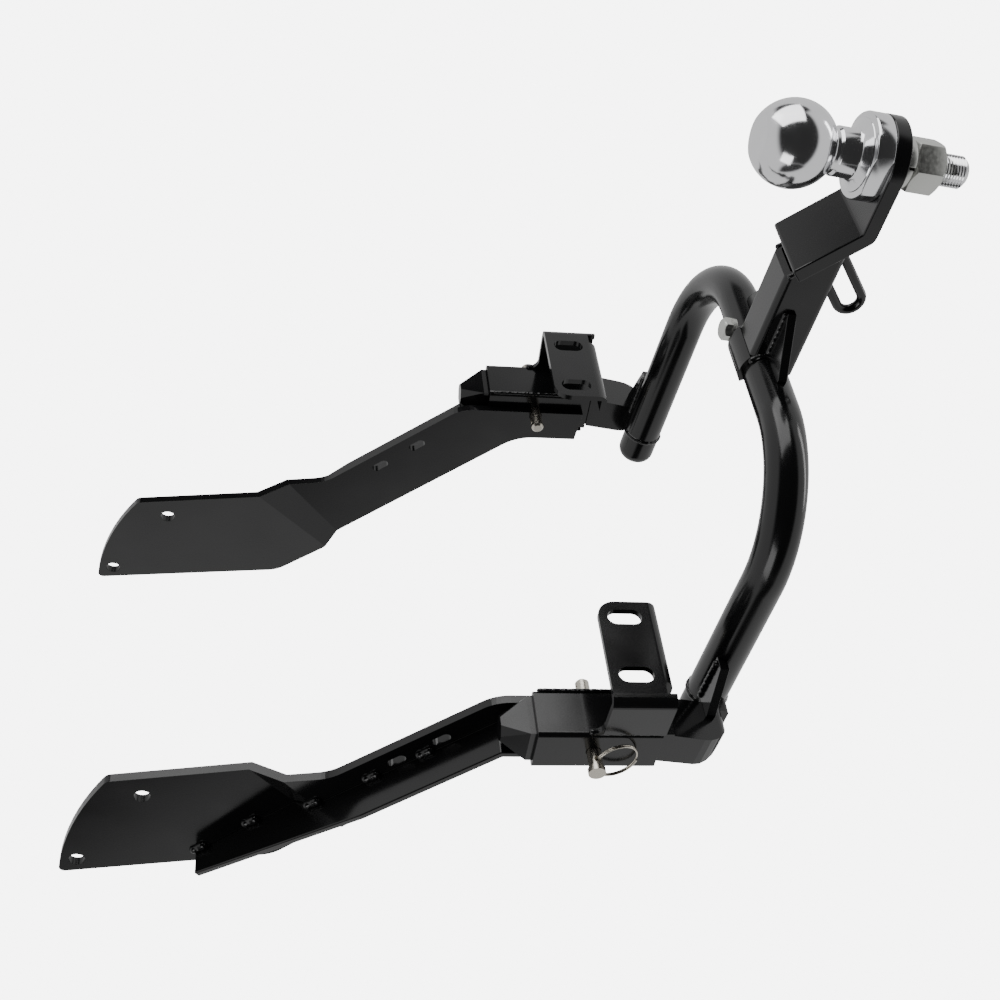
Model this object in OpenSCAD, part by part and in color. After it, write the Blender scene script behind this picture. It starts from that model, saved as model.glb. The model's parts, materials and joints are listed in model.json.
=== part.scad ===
// Detachable ball hitch for a touring motorcycle.
// Frame: origin at the centre of the ball, +X to the vehicle's right, +Y forwards, +Z up.
// Two side brackets bolt to the vehicle's frame rails. A U-shaped tongue stands its two upright
// prongs in the brackets' receivers, and a ring pin crosses each receiver and locks its prong.
// Everything on the right side is drawn once and mirrored for the left.

/* [Ball] */
// Diameter of the hitch ball
ball_d = 50.8; // [45:0.1:60]
// Diameter of the flat on top of the ball
ball_flat_d = 27; // [10:0.5:30]
// Diameter of the neck below the ball
neck_d = 28.6; // [22:0.1:34]
// Diameter of the flange that seats on the ball plate
flange_d = 50.4; // [44:0.2:60]
// Thickness of the flange
flange_t = 11.4; // [8:0.2:16]
// Width across the two wrench flats of the flange
flange_flats = 44.4; // [36:0.2:50]
// Height of the ball's centre above the ball plate
ball_rise = 51.5; // [46:0.5:70]
// Diameter of the threaded shank
shank_d = 19; // [15:0.5:25]
// How far the shank stands out below the nut
shank_tail = 18; // [6:1:30]
// Width of the ball's nut across its flats
ball_nut_af = 28.6; // [24:0.1:36]
// Height of the ball's nut
ball_nut_h = 19; // [12:0.5:24]
// Outer diameter of the flat washer
flat_washer_d = 34; // [30:0.5:40]
// Thickness of the flat washer
flat_washer_t = 3.5; // [2:0.1:5]
// Outer diameter of the lock washer
lock_washer_d = 30; // [26:0.5:36]
// Thickness of the lock washer
lock_washer_t = 5.5; // [3:0.1:7]

/* [Ball plate and drawbar] */
// Width of the bent bar that carries the ball
plate_w = 50.8; // [46:0.2:64]
// Thickness of that bar
plate_t = 9.5; // [6:0.5:13]
// Distance from the ball's axis forward to the bar's bend
plate_bend_y = 36; // [32:0.5:60]
// Length of the bar's raised end, along its slope
cap_l = 44.5; // [36:0.5:52]
// Outer size of the square drawbar tube
drawbar_w = 31.75; // [28:0.25:40]
// Wall of the drawbar tube
drawbar_wall = 3; // [2:0.25:5]
// Height of the drawbar's axis
drawbar_z = -38.2; // [-42:0.1:-36]

/* [Tongue tube] */
// Outer diameter of the bent round tube
tube_d = 26.7; // [22:0.1:32]
// Wall of the round tube
tube_wall = 2.9; // [2:0.1:4]
// Height of the round tube's axis
tube_z = -35; // [-40:0.5:-32]
// Distance from the ball's axis to the tube's cross run
tube_y = 148.6; // [125:0.2:220]
// Distance of each leg from the centre plane
leg_x = 128; // [108:1:140]
// Bend radius of the tube, at its axis
tube_bend_r = 74; // [45:1:85]

/* [Receivers and prongs] */
// Distance of the lock pins' axis in front of the ball
pin_y = 331.2; // [270:0.2:400]
// Height of the lock pins' axis
pin_z = 48; // [36:0.5:60]
// Lean of the receivers from upright
lean = 6; // [0:0.5:10]
// Outer width of the receiver tube, across the vehicle
receiver_w = 35; // [32:0.5:44]
// Outer depth of the receiver tube
receiver_d = 33; // [30:0.5:42]
// Wall of the receiver tube
receiver_wall = 3; // [2:0.25:5]
// Height of the receiver above the pin
receiver_up = 36.7; // [25:0.5:60]
// Depth of the receiver below the pin
receiver_down = 41.5; // [30:0.5:70]
// Gap between a prong and each wall of its receiver
prong_gap = 0.3; // [0.2:0.05:0.8]
// Length of the prong's tapered tip
tip_l = 16.5; // [8:0.5:30]
// Depth of a prong's foot below the axis of the round tube
foot_drop = 4; // [0:0.5:12]
// Length of the rounded plug that closes each end of the round tube
tube_plug_l = 25; // [18:0.5:30]

/* [Side brackets] */
// Thickness of the side plates
side_t = 6; // [4:0.5:8]
// Distance from the centre plane to the inner face of a bracket's lower strip
strip_x = 138.5; // [120:0.5:150]
// Sideways step between the strip and the upper plate's rear corner
joggle = 10.7; // [4:0.1:12]
// How far the upper plate is toed out
toe = 4.5; // [0:0.5:8]
// Diameter of the frame bolt holes
frame_hole_d = 11; // [8:0.5:16]
// Length of the slots in the strip
strip_slot_l = 13.5; // [10:0.5:20]
// Width of the slots in the strip
strip_slot_w = 6.5; // [4:0.5:9]
// Thickness of the stiffener bar
stiffener_t = 5; // [3:0.5:7]
// Height of the stiffener bar at its lower end
stiffener_h = 25.5; // [18:0.5:30]
// Height of the stiffener bar at its upper end
stiffener_tip_h = 16.5; // [8:0.5:24]

/* [Slot brackets] */
// Thickness of the slot bracket's sheet
sheet_t = 4; // [3:0.25:6]
// Distance from the receiver's rear face to the slot bracket's rear face
slot_reach = 35.5; // [25:0.5:50]
// Height of the slot bracket
slot_bracket_h = 39.5; // [34:0.5:50]
// Width of the slot bracket, across the vehicle
slot_bracket_w = 81; // [70:0.5:90]
// How far the bracket's tab leans outwards towards its bend
tab_splay = 3; // [0:0.5:5]
// Length of each slot
slot_l = 22; // [14:0.5:26]
// Width of each slot
slot_w = 12; // [6:0.5:14]
// Distance between the two slots
slot_pitch = 46.5; // [40:0.1:55]

/* [Lock pins] */
// Diameter of a lock pin
pin_d = 9; // [7:0.5:11]
// Gap between a pin and its bores, all round
pin_gap = 0.3; // [0.1:0.05:0.5]
// Length of the pin past the strip's inner face
pin_tail = 14.5; // [10:0.5:24]
// Diameter of the pin's head
pin_head_d = 11; // [10:0.5:16]
// Thickness of the pin's head
pin_head_t = 3.5; // [2:0.25:6]
// Outer diameter of the pull ring
ring_d = 30; // [24:0.5:40]
// Thickness of the pull ring's wire
ring_wire = 2.3; // [1.5:0.1:3]

/* [Chain loop] */
// Diameter of the chain loop's bar
loop_bar_d = 6; // [4:0.5:8]
// Distance between the axes of the loop's two legs
loop_span = 15.7; // [14:0.1:24]
// Slope of the loop's legs below level
loop_lean = 42; // [40:1:80]

/* [Hidden] */
$fn = 64;

eps = 0.01;
black = [0.05, 0.05, 0.055];
chrome = [0.8, 0.8, 0.82];
zinc = [0.7, 0.7, 0.68];
nickel = [0.75, 0.73, 0.7];

// Ball, neck and flange
ball_flat_z = sqrt(pow(ball_d / 2, 2) - pow(ball_flat_d / 2, 2));
neck_top_z = -sqrt(pow(ball_d / 2, 2) - pow(neck_d / 2, 2));
groove_h = 3.4;
groove_d = neck_d - 2.2;
flare_h = 4;
flange_top_z = -ball_rise + flange_t;
flange_chamfer = 1;
plate_bottom_z = -ball_rise - plate_t;
washer_z = plate_bottom_z - flat_washer_t;
lock_washer_z = washer_z - lock_washer_t;
ball_nut_z = lock_washer_z - ball_nut_h;
shank_end_z = ball_nut_z - shank_tail;
shank_hole_d = shank_d + 0.6;
nut_turn = 14;

// Ball plate: level part, then a raised end at 45 degrees that caps the drawbar
cap_rise = cap_l * sin(45);
plate_bend_r = 8;
inner_bend_y = plate_bend_y + plate_t * tan(22.5);
// The cap's inner face is the plane y - z = cap_plane
cap_plane = inner_bend_y - plate_bottom_z;
drawbar_corner_r = 4;
saddle_t = 3;
saddle_top_start = 55;
saddle_top_end = 128;
saddle_low_start = -125;
saddle_low_end = -75;
tube_r = tube_d / 2;
gusset_t = 6;
gusset_run = 34;
gusset_out = 27;

// Receiver, in its own leaning frame: x as the vehicle's, y towards the front, z along the prong,
// origin on the pin's axis
receiver_x0 = strip_x + side_t;
receiver_x1 = receiver_x0 + receiver_w;
receiver_cx = (receiver_x0 + receiver_x1) / 2;
receiver_corner_r = 3;
prong_w = receiver_w - 2 * receiver_wall - 2 * prong_gap;
prong_d = receiver_d - 2 * receiver_wall - 2 * prong_gap;
tip_start = receiver_up + 4;
tip_end_w = prong_w - 12;
tip_end_d = prong_d - 12;
tip_corner = 5;

// Foot of a prong, below the receiver, beside the closed end of the round tube
foot_rear_y = pin_y - prong_d / 2 - 0.5;
foot_front_y = foot_rear_y + prong_d - 2;
foot_low_z = tube_z - foot_drop;
foot_x0 = receiver_x0 + 1;
foot_x1 = receiver_cx + prong_w / 2;
foot_round_r = 17;
foot_side_r = 18;
foot_edge_r = 6;
bridge_h = 18;
tube_end_y = foot_rear_y + 7.5;
tube_plug_r = 9;
foot_plate_t = 6;
foot_gusset_run = 36;
foot_gusset_end = 9;
foot_gusset_out = 30;
foot_gusset_z = tube_z + 7;

// Side plate outline, in y and z
strip_half = 24.5;
strip_mid = 262.65;
upper_rear = [457, 336.5];
upper_front = [552, 361.5];
upper_low_rear = [435.5, 245.5];
upper_arc_r = 190;
front_knee = [521.3, 220];
front_step = [[474.2, 177.1], [488.5, 187.5]];
plate_lead = 5.5;
plate_rear = -3.4;
joggle_low = 653;
joggle_high = 677;
// The upper plate's inner face passes through x = face_x at y = toe_y
face_x = strip_x - joggle;
toe_y = 455;
joggle_angle = atan(joggle * sqrt(2) / (joggle_high - joggle_low));
hole_a = [469.5, 312.4];
hole_b = [538.7, 350];
strip_slots = [[399.9, 156.3], [374.8, 132.1]];
stiffener_line = 254.5;
stiffener_top = 525;
stiffener_full = 429;

// Slot bracket, in the receiver's frame
slot_bracket_top = -3.2;
slot_bracket_low = slot_bracket_top - slot_bracket_h;
slot_rear_y = -receiver_d / 2 - slot_reach;
slot_mid_z = (slot_bracket_top + slot_bracket_low) / 2 + 3;
slot_x_out = receiver_x1 - 18.6;
slot_bend_r = 7;
slot_foot_r = 8;
slot_corner_r = 12;
slot_lip = 16;
slot_lip_gap = 9;

// Lock pin, along x from its tail to its head
pin_tail_x = strip_x - pin_tail;
ring_hole_x = receiver_x1 + 8.5;
pin_head_x = ring_hole_x + 4.5;
ring_r = (ring_d - ring_wire) / 2;
ring_hole_d = ring_wire + 1.6;
ring_rest = 12;
detent_r = 1.6;
detent_out = 0.2;
detent_x = pin_tail_x + 6;
detent_hole_r = detent_r + 0.1;
detent_floor = -3;
spring_wire_r = 0.22;
spring_turns = 5;

// Chain loop under the drawbar, in y and z
loop_foot_z = drawbar_z - drawbar_w / 2;
loop_x = -5;
loop_centre = [92.7, -72.4];
loop_leg = 44;

// Accessory bolt on the tongue tube
accessory_x = drawbar_w / 2 + 9.5;
accessory_af = 13;
accessory_head_h = 5.5;
accessory_shank_r = 3.9;
accessory_sleeve_r = 5.5;
accessory_flange_r = 7.5;
accessory_top_z = tube_z + tube_r + 1;

// Points of an arc between two angles
function arc(c, r, a0, a1, n = 8) = [for (i = [0:n]) c + r * [cos(a0 + (a1 - a0) * i / n), sin(a0 + (a1 - a0) * i / n)]];

function unit(v) = v / norm(v);
function left_of(v) = [-v[1], v[0]];

// One corner of an outline, rounded to radius r
function corner(p, q, s, r, n = 6) =
    let (d1 = unit(q - p), d2 = unit(s - q))
    let (side = sign(d1[0] * d2[1] - d1[1] * d2[0]))
    let (turn = acos(max(-1, min(1, d1 * d2))))
    let (run = r * tan(turn / 2), c = q - d1 * run + side * r * left_of(d1))
    let (start = atan2(-side * left_of(d1)[1], -side * left_of(d1)[0]))
    r == 0 ? [q] : arc(c, r, start, start + side * turn, n);

// A closed outline whose points are [y, z, radius]
function rounded(pts) =
    let (n = len(pts))
    [for (i = [0:n - 1])
        let (p = pts[(i + n - 1) % n], q = pts[i], s = pts[(i + 1) % n])
        each corner([p[0], p[1]], [q[0], q[1]], [s[0], s[1]], q[2])];

// Centre of the circle of radius r through two points, on the left of the way between them
function circle_centre(a, b, r) =
    let (m = (a + b) / 2, h = norm(b - a) / 2)
    m + sqrt(r * r - h * h) * left_of(unit(b - a));

// A square with round corners, centred
module round_square(w, d, r) {
    square([w - 2 * r, d], center = true);
    square([w, d - 2 * r], center = true);
    for (sx = [-1, 1], sy = [-1, 1])
        translate([sx * (w / 2 - r), sy * (d / 2 - r)]) circle(r);
}

// A slot between its two round ends, along x
module slot_shape(l, w) {
    square([l - w, w], center = true);
    for (s = [-1, 1]) translate([s * (l - w) / 2, 0]) circle(w / 2);
}

// A round bar that follows points in the xy plane, with bends of radius r
module bent_bar(pts, r, d) {
    n = len(pts);
    dirs = [for (i = [0:n - 2]) unit(pts[i + 1] - pts[i])];
    turns = [for (i = [0:n - 1]) i == 0 || i == n - 1 ? 0 : acos(dirs[i - 1] * dirs[i])];
    sides = [for (i = [0:n - 1]) i == 0 || i == n - 1 ? 0
        : sign(dirs[i - 1][0] * dirs[i][1] - dirs[i - 1][1] * dirs[i][0])];
    runs = [for (a = turns) r * tan(a / 2)];
    for (i = [0:n - 2]) {
        start = pts[i] + dirs[i] * runs[i];
        stretch = norm(pts[i + 1] - pts[i]) - runs[i] - runs[i + 1];
        translate([start[0], start[1], 0])
            rotate([0, 0, atan2(dirs[i][1], dirs[i][0])])
            rotate([0, 90, 0]) cylinder(d = d, h = stretch);
    }
    for (i = [1:n - 2]) {
        c = pts[i] - dirs[i - 1] * runs[i] + sides[i] * r * left_of(dirs[i - 1]);
        out = -sides[i] * left_of(dirs[i - 1]);
        start = atan2(out[1], out[0]) - (sides[i] < 0 ? turns[i] : 0);
        translate([c[0], c[1], 0])
            rotate([0, 0, start])
            rotate_extrude(angle = turns[i]) translate([r, 0]) circle(d = d);
    }
}

// Turns a drawing in the yz plane into a solid between two x values
module across(x0, x1) {
    translate([x0, 0, 0]) rotate([90, 0, 90]) linear_extrude(height = x1 - x0) children();
}

// Turns a drawing whose x is the way up the strip and whose y is the vehicle's x into a solid
// that runs along the joggle's creases, between two places across the strip
module along_crease(a = -450, b = 450) {
    rotate([180, -45, 90]) translate([0, 0, a]) linear_extrude(height = b - a) children();
}

// Toes out what is drawn with the upper plate's inner face at x = 0
module toed() {
    translate([face_x, toe_y, 0]) rotate([0, 0, -toe]) translate([0, -toe_y, 0]) children();
}

// Places what is drawn in the receiver's frame
module in_receiver() {
    translate([0, pin_y, pin_z]) rotate([-lean, 0, 0]) children();
}

module to_left() {
    mirror([1, 0, 0]) children();
}

module hitch_ball() {
    color(chrome) difference() {
        union() {
            intersection() {
                sphere(d = ball_d, $fn = 96);
                translate([-ball_d, -ball_d, -ball_d]) cube([2 * ball_d, 2 * ball_d, ball_d + ball_flat_z]);
            }
            translate([0, 0, neck_top_z - groove_h]) cylinder(d = groove_d, h = groove_h + 2);
            translate([0, 0, flange_top_z]) cylinder(d = neck_d, h = neck_top_z - groove_h - flange_top_z);
            translate([0, 0, flange_top_z])
                cylinder(d1 = flange_d - 2 * flange_chamfer, d2 = neck_d, h = flare_h);
            intersection() {
                translate([0, 0, -ball_rise]) cylinder(d = flange_d, h = flange_t);
                cube([flange_flats, flange_d + 1, 4 * ball_rise], center = true);
            }
            translate([0, 0, shank_end_z + 1]) cylinder(d = shank_d, h = -ball_rise - shank_end_z);
            translate([0, 0, shank_end_z]) cylinder(d1 = shank_d - 2, d2 = shank_d, h = 1);
        }
        for (s = [-1, 1]) translate([s * (flange_flats / 2 + flange_d / 2), 0, flange_top_z])
            cube([flange_d, flange_d + 1, 2 * flare_h], center = true);
    }
}

module ball_flat_washer() {
    color(zinc) translate([0, 0, washer_z]) difference() {
        cylinder(d = flat_washer_d, h = flat_washer_t);
        translate([0, 0, -1]) cylinder(d = shank_hole_d, h = flat_washer_t + 2);
    }
}

module ball_lock_washer() {
    color(zinc) translate([0, 0, lock_washer_z]) difference() {
        cylinder(d = lock_washer_d, h = lock_washer_t);
        translate([0, 0, -1]) cylinder(d = shank_hole_d, h = lock_washer_t + 2);
        translate([0, -lock_washer_d / 2, lock_washer_t / 2]) rotate([0, 25, 0])
            cube([1.2, lock_washer_d, 4 * lock_washer_t], center = true);
    }
}

module ball_nut() {
    color(zinc) translate([0, 0, ball_nut_z]) difference() {
        intersection() {
            rotate([0, 0, nut_turn]) cylinder(d = ball_nut_af / cos(30), h = ball_nut_h, $fn = 6);
            cylinder(d1 = ball_nut_af - 1, d2 = ball_nut_af - 1 + 2 * ball_nut_h, h = ball_nut_h);
        }
        translate([0, 0, -1]) cylinder(d = shank_d + 0.1, h = ball_nut_h + 2);
    }
}

module ball_plate() {
    low = rounded([[-plate_w, plate_bottom_z, 0], [inner_bend_y, plate_bottom_z, plate_bend_r],
        [inner_bend_y + cap_rise + plate_t * tan(22.5) * sin(45), plate_bottom_z + cap_rise
            + plate_t * tan(22.5) * sin(45), 0],
        [plate_bend_y + cap_rise, -ball_rise + cap_rise, 2], [plate_bend_y, -ball_rise, 3],
        [-plate_w, -ball_rise, 0]]);
    color(black) difference() {
        intersection() {
            across(-plate_w / 2, plate_w / 2) polygon(low);
            union() {
                translate([0, 0, plate_bottom_z - 1]) cylinder(d = plate_w, h = 2 * ball_rise, $fn = 96);
                translate([-plate_w, 0, plate_bottom_z - 1]) cube([2 * plate_w, 3 * plate_w, 2 * ball_rise]);
            }
        }
        translate([0, 0, plate_bottom_z - 1]) cylinder(d = shank_hole_d, h = plate_t + 2);
    }
}

module drawbar() {
    color(black) difference() {
        translate([0, tube_y, drawbar_z]) rotate([90, 0, 0]) linear_extrude(height = tube_y - 20)
            difference() {
                round_square(drawbar_w, drawbar_w, drawbar_corner_r);
                round_square(drawbar_w - 2 * drawbar_wall, drawbar_w - 2 * drawbar_wall,
                    drawbar_corner_r - drawbar_wall + 0.5);
            }
        // The rear end is cut to the slope of the cap
        translate([0, cap_plane, 0]) rotate([-45, 0, 0]) translate([-plate_w, -200, -200])
            cube([2 * plate_w, 200, 400]);
        // The front end is shaped to the round tube
        translate([0, tube_y, tube_z]) rotate([0, 90, 0]) cylinder(d = tube_d, h = 2 * plate_w, center = true);
    }
}

// A strap that wraps the round tube between two angles, measured from straight forwards
module saddle(a0, a1) {
    color(black) translate([0, tube_y, tube_z]) rotate([90, 0, 90]) rotate([0, 0, a0])
        rotate_extrude(angle = a1 - a0)
        translate([tube_r, -drawbar_w / 2]) square([saddle_t, drawbar_w]);
}

module upper_saddle() {
    difference() {
        saddle(saddle_top_start, saddle_top_end);
        drawbar_volume();
    }
}

module lower_saddle() {
    difference() {
        saddle(saddle_low_start, saddle_low_end);
        drawbar_volume();
    }
}

module drawbar_volume() {
    translate([-drawbar_w, tube_y - drawbar_w * 2, drawbar_z - drawbar_w / 2])
        cube([2 * drawbar_w, drawbar_w * 2, drawbar_w]);
}

// Flat gusset in the corner between the drawbar's side and the cross run of the round tube
module drawbar_gusset() {
    color(black) difference() {
        translate([0, 0, tube_z - gusset_t / 2]) linear_extrude(height = gusset_t)
            polygon([[drawbar_w / 2, tube_y - tube_r - gusset_run], [drawbar_w / 2, tube_y],
                [drawbar_w / 2 + gusset_out, tube_y], [drawbar_w / 2 + gusset_out, tube_y - tube_r - 2],
                [drawbar_w / 2 + 3, tube_y - tube_r - gusset_run]]);
        translate([0, tube_y, tube_z]) rotate([0, 90, 0]) cylinder(d = tube_d, h = 4 * plate_w, center = true);
    }
}

// Two parallel legs that run down and forwards from the drawbar, and the half ring that joins them
module chain_loop() {
    color(black) difference() {
        translate([loop_x, loop_centre[0], loop_centre[1]]) rotate([90, 0, 90]) rotate([0, 0, -loop_lean]) {
            for (s = [-1, 1]) translate([-loop_leg, s * loop_span / 2, 0])
                rotate([0, 90, 0]) cylinder(d = loop_bar_d, h = loop_leg);
            rotate([0, 0, -90]) rotate_extrude(angle = 180) translate([loop_span / 2, 0]) circle(d = loop_bar_d);
        }
        translate([loop_x - 20, 0, loop_foot_z]) cube([40, 200, 100]);
    }
}

module tongue_sweep(d) {
    translate([0, 0, tube_z]) bent_bar([[-leg_x, tube_end_y], [-leg_x, tube_y], [leg_x, tube_y],
        [leg_x, tube_end_y]], tube_bend_r, d);
}

module tongue_tube() {
    color(black) difference() {
        tongue_sweep(tube_d);
        tongue_sweep(tube_d - 2 * tube_wall);
        translate([accessory_x, tube_y, tube_z]) cylinder(r = accessory_sleeve_r, h = tube_d);
    }
}

// Rounded plug welded on the end of a tongue leg
module tube_plug() {
    color(black) translate([leg_x, tube_end_y, tube_z]) rotate([-90, 0, 0]) rotate_extrude()
        polygon(concat([[0, 0], [tube_r, 0]],
            arc([tube_r - tube_plug_r, tube_plug_l - tube_plug_r], tube_plug_r, 0, 90), [[0, tube_plug_l]]));
}

module accessory_insert() {
    color(zinc) difference() {
        union() {
            translate([accessory_x, tube_y, accessory_top_z - 9]) cylinder(r = accessory_sleeve_r, h = 9);
            difference() {
                translate([accessory_x, tube_y, accessory_top_z - 3]) cylinder(r = accessory_flange_r, h = 3);
                translate([0, tube_y, tube_z]) rotate([0, 90, 0]) cylinder(d = tube_d, h = 200, center = true);
            }
        }
        translate([accessory_x, tube_y, accessory_top_z - 20]) cylinder(r = accessory_shank_r + 0.1, h = 40);
    }
}

module accessory_bolt() {
    color(zinc) translate([accessory_x, tube_y, accessory_top_z]) {
        intersection() {
            cylinder(d = accessory_af / cos(30), h = accessory_head_h, $fn = 6);
            cylinder(d1 = accessory_af - 1 + 2 * accessory_head_h, d2 = accessory_af - 1, h = accessory_head_h);
        }
        translate([0, 0, -12]) cylinder(r = accessory_shank_r, h = 12 + eps);
    }
}

// A place in the receiver's frame, as y and z of the vehicle's
function from_receiver(y, z) = [pin_y + y * cos(lean) + z * sin(lean), pin_z - y * sin(lean) + z * cos(lean)];

// The foot between the tube's end and the mouth of the receiver
module foot() {
    rear = from_receiver(-prong_d / 2, -receiver_down - 1);
    front = from_receiver(prong_d / 2, -receiver_down - 1);
    intersection() {
        across(foot_x0, foot_x1) polygon(rounded([[foot_rear_y, foot_low_z, foot_edge_r],
            [foot_front_y, foot_low_z, foot_round_r], [front[0], front[1], 0], [rear[0], rear[1], 0]]));
        translate([0, foot_front_y + 20, 0]) rotate([90, 0, 0]) linear_extrude(height = 2 * prong_d + 20)
            polygon(rounded([[foot_x0, foot_low_z, 5], [foot_x1, foot_low_z, foot_side_r],
                [foot_x1, pin_z, 0], [foot_x0, pin_z, 0]]));
    }
}

// Short block that joins the foot to the side of the tube's closed end
module bridge() {
    difference() {
        across(leg_x, foot_x0 + 4) polygon(rounded([[foot_rear_y + 1, tube_z - bridge_h / 2, 3],
            [foot_front_y - 4, tube_z - bridge_h / 2, 3], [foot_front_y - 4, tube_z + bridge_h / 2, 3],
            [foot_rear_y + 1, tube_z + bridge_h / 2, 3]]));
        translate([leg_x, foot_rear_y - 40, tube_z]) rotate([-90, 0, 0]) cylinder(d = tube_d, h = 100);
    }
}

module prong() {
    color(black) difference() {
        union() {
            foot();
            bridge();
            in_receiver() translate([receiver_cx, 0, -receiver_down - 8])
                linear_extrude(height = receiver_down + tip_start + 8) square([prong_w, prong_d], center = true);
            in_receiver() hull() {
                translate([receiver_cx, 0, tip_start]) linear_extrude(height = eps)
                    square([prong_w, prong_d], center = true);
                translate([receiver_cx, 0, tip_start + tip_l - eps]) linear_extrude(height = eps)
                    tip_end();
            }
        }
        in_receiver() translate([receiver_cx, 0, 0]) rotate([0, 90, 0])
            cylinder(d = pin_d + 2 * pin_gap, h = 2 * receiver_w, center = true);
    }
}

// The octagon at the end of a prong's tip
module tip_end() {
    w = tip_end_w / 2;
    d = tip_end_d / 2;
    polygon([[w, d - tip_corner], [w - tip_corner, d], [tip_corner - w, d], [-w, d - tip_corner],
        [-w, tip_corner - d], [tip_corner - w, -d], [w - tip_corner, -d], [w, tip_corner - d]]);
}

// Flat gusset in the corner between a tongue leg's outer side and its foot
module foot_gusset() {
    color(black) difference() {
        translate([0, 0, foot_gusset_z - foot_plate_t / 2]) linear_extrude(height = foot_plate_t)
            polygon([[leg_x, foot_rear_y - foot_gusset_run], [leg_x + tube_r + foot_gusset_end - 3,
                foot_rear_y - foot_gusset_run], [leg_x + foot_gusset_out, foot_rear_y - 4],
                [leg_x + foot_gusset_out, foot_rear_y + 6], [leg_x, foot_rear_y + 6]]);
        translate([leg_x, foot_rear_y - 60, tube_z]) rotate([-90, 0, 0]) cylinder(d = tube_d, h = 120);
        foot();
        bridge();
        translate([leg_x, foot_rear_y, tube_z - 20]) cube([tube_d + 20, 40, 60]);
    }
}

// Outline of a whole side plate, in y and z
function side_outline() =
    let (rear_edge = strip_mid - strip_half * sqrt(2), front_edge = strip_mid + strip_half * sqrt(2))
    let (low_front = from_receiver(receiver_d / 2 + plate_lead, -receiver_down))
    let (low_rear = from_receiver(plate_rear, -receiver_down))
    let (head_rear = from_receiver(plate_rear, receiver_up))
    // Where the lines along the receiver meet the strip's two edges
    let (front_z = (low_front[0] - low_front[1] * tan(lean) - front_edge) / (1 - tan(lean)))
    let (rear_z = (head_rear[0] - head_rear[1] * tan(lean) - rear_edge) / (1 - tan(lean)))
    // Where the upper plate's rear edge meets the strip's
    let (slope = (upper_rear[0] - upper_low_rear[0]) / (upper_rear[1] - upper_low_rear[1]))
    let (knee_z = (upper_rear[0] - upper_rear[1] * slope - rear_edge) / (1 - slope))
    let (c = circle_centre(upper_front, upper_rear, upper_arc_r))
    let (a0 = atan2(upper_front[1] - c[1], upper_front[0] - c[0]))
    let (a1 = atan2(upper_rear[1] - c[1], upper_rear[0] - c[0]))
    let (top = arc(c, upper_arc_r, a0, a1, 10))
    concat(
        rounded_open([[low_front[0], low_front[1], 0], [front_edge + front_z, front_z, 38],
            [front_step[0][0], front_step[0][1], 20], [front_step[1][0], front_step[1][1], 20],
            [front_knee[0], front_knee[1], 24], [upper_front[0], upper_front[1], 4], [top[1][0], top[1][1], 0]]),
        [for (i = [2:8]) top[i]],
        rounded_open([[top[9][0], top[9][1], 0], [upper_rear[0], upper_rear[1], 6],
            [rear_edge + knee_z, knee_z, 30], [rear_edge + rear_z, rear_z, 28], [low_rear[0], low_rear[1], 0]])
    );

// An open run of outline points, each [y, z, radius]; its two ends stay sharp
function rounded_open(pts) =
    let (n = len(pts))
    [for (i = [0:n - 1])
        let (q = [pts[i][0], pts[i][1]])
        each (i == 0 || i == n - 1 ? [q]
            : corner([pts[i - 1][0], pts[i - 1][1]], q, [pts[i + 1][0], pts[i + 1][1]], pts[i][2]))];

// The way up the strip of the joggle's lower crease
crease_low = joggle_low / sqrt(2);

// The upper plate's outer face where the stiffener crosses it
function outer_face(y) = face_x + side_t / cos(toe) + (y - toe_y) * tan(toe);

// All that lies inboard of the bent plate, at a depth t into the plate from its inner face
module inboard_of(t) {
    far = 60 - 2 * t;
    slope = tan(joggle_angle);
    crease = crease_low + t * tan(joggle_angle / 2);
    intersection() {
        across(strip_x - far, strip_x + t) translate([2 * t, 2 * t]) square(700 - 4 * t);
        union() {
            along_crease(-400 + t, 400 - t) polygon([[0, strip_x - 2 * far],
                [0, strip_x + t + crease * slope], [crease + (t + 2 * far) / slope, strip_x - 2 * far]]);
            toed() across(-2 * far, t) translate([t, t]) square(650);
        }
    }
}

module side_plate() {
    color(black) difference() {
        intersection() {
            across(face_x - 5, receiver_x0 + 1) polygon(side_outline());
            difference() {
                inboard_of(side_t);
                inboard_of(0);
            }
        }
        for (h = [hole_a, hole_b]) toed() across(-20, 20) translate(h) circle(d = frame_hole_d);
        for (h = strip_slots) across(strip_x - 5, receiver_x1) translate(h) rotate(45)
            slot_shape(strip_slot_l, strip_slot_w);
        in_receiver() translate([receiver_x0, 0, 0]) rotate([0, 90, 0])
            cylinder(d = pin_d + 2 * pin_gap, h = 4 * side_t, center = true);
    }
}

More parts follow.
